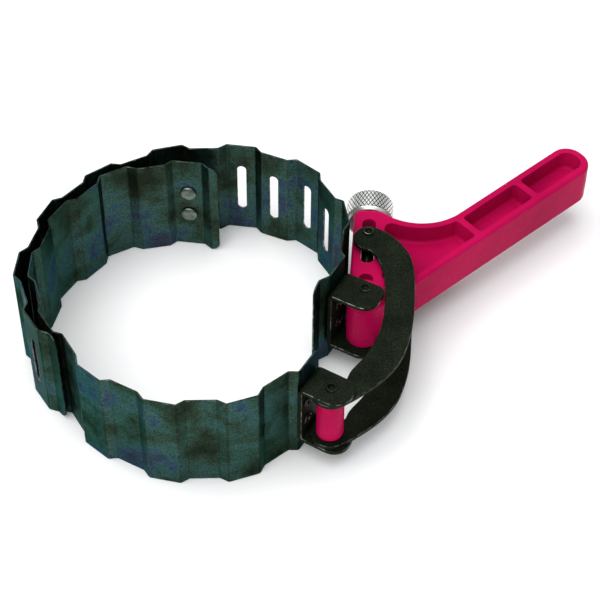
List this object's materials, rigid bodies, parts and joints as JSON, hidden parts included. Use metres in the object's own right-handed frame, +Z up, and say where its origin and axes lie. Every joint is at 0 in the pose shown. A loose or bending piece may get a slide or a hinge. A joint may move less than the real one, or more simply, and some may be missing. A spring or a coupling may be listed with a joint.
{
  "type": "oil filter wrench",
  "caption": "Adjustable filter wrench: two corrugated spring-steel bands hooked into an open ring, closed by an over-centre lever with C-shaped links and a knurled fine-adjustment screw.",
  "frame": {"origin": "centre of the tool's box in plan, on the plane that the bands' lower edges rest on", "axes": "+Z up along the ring's axis, +X from the ring towards the lever's tip, +Y away from the bands' open ends"},
  "size_m": [0.1856, 0.1226, 0.0381],
  "materials": {
    "blued_steel": "mottled blue-green spring-steel oxide, satin",
    "black_steel": "black oxide, satin, worn bright along edges",
    "grey_steel": "plain steel, satin",
    "bright_nickel": "bright nickel, diamond knurled",
    "crimson_plastic": "moulded crimson plastic, semi-gloss"
  },
  "bodies": {
    "fixed_band": {"outer_band": "blued_steel", "size_hook": "black_steel", "hook_rivet_upper": "grey_steel", "hook_rivet_lower": "grey_steel", "pivot_bracket": "black_steel", "pivot_bracket_rivet_upper": "grey_steel", "pivot_bracket_rivet_lower": "grey_steel", "pivot_pin": "black_steel"},
    "moving_band": {"inner_band": "blued_steel", "link_bracket": "black_steel", "link_bracket_rivet_upper": "grey_steel", "link_bracket_rivet_lower": "grey_steel", "link_pin": "black_steel"},
    "roller": {"roller": "crimson_plastic"},
    "links": {"link_upper": "black_steel", "link_lower": "black_steel", "nut_trunnion_upper": "black_steel", "nut_trunnion_lower": "black_steel"},
    "lever": {"lever_handle": "crimson_plastic"},
    "adjuster": {"knurled_knob": "bright_nickel", "adjuster_screw": "grey_steel", "screw_clip": "grey_steel"},
    "nut": {"adjuster_nut": "grey_steel"}
  },
  "joints": [
    {"name": "lever_swing", "type": "hinge", "parent": "fixed_band", "child": "lever", "pos_m": [0.01623, -0.00844, 0.01905], "axis": [0, 0, -1], "range_deg": [0, 70]},
    {"name": "band_flex", "type": "hinge", "parent": "fixed_band", "child": "moving_band", "pos_m": [-0.07867, -0.03584, 0.01905], "axis": [0, 0, -1], "range_deg": [0, 5.78], "deforming": ["inner_band"]},
    {"name": "link_swing", "type": "hinge", "parent": "moving_band", "child": "links", "pos_m": [0.00543, -0.04854, 0.01905], "axis": [0, 0, -1], "range_deg": [0, 17.53]},
    {"name": "roller_spin", "type": "hinge", "parent": "moving_band", "child": "roller", "pos_m": [0.00543, -0.04854, 0.01905], "axis": [0, 0, 1], "continuous": true},
    {"name": "screw_turn", "type": "hinge", "parent": "lever", "child": "adjuster", "pos_m": [0.01862, 0.03059, 0.01905], "axis": [-0.061, -0.9981, 0], "range_deg": [-2880, 1800]},
    {"name": "nut_travel", "type": "slide", "parent": "lever", "child": "nut", "axis": [0.061, 0.9981, 0], "range_m": [-0.008, 0.005]}
  ],
  "couplings": [
    {"joint": "band_flex", "follows": "lever_swing", "ratio": 0.081901},
    {"joint": "link_swing", "follows": "lever_swing", "ratio": 0.24971},
    {"joint": "nut_travel", "follows": "screw_turn", "m_per_rad": 0.00015915}
  ]
}
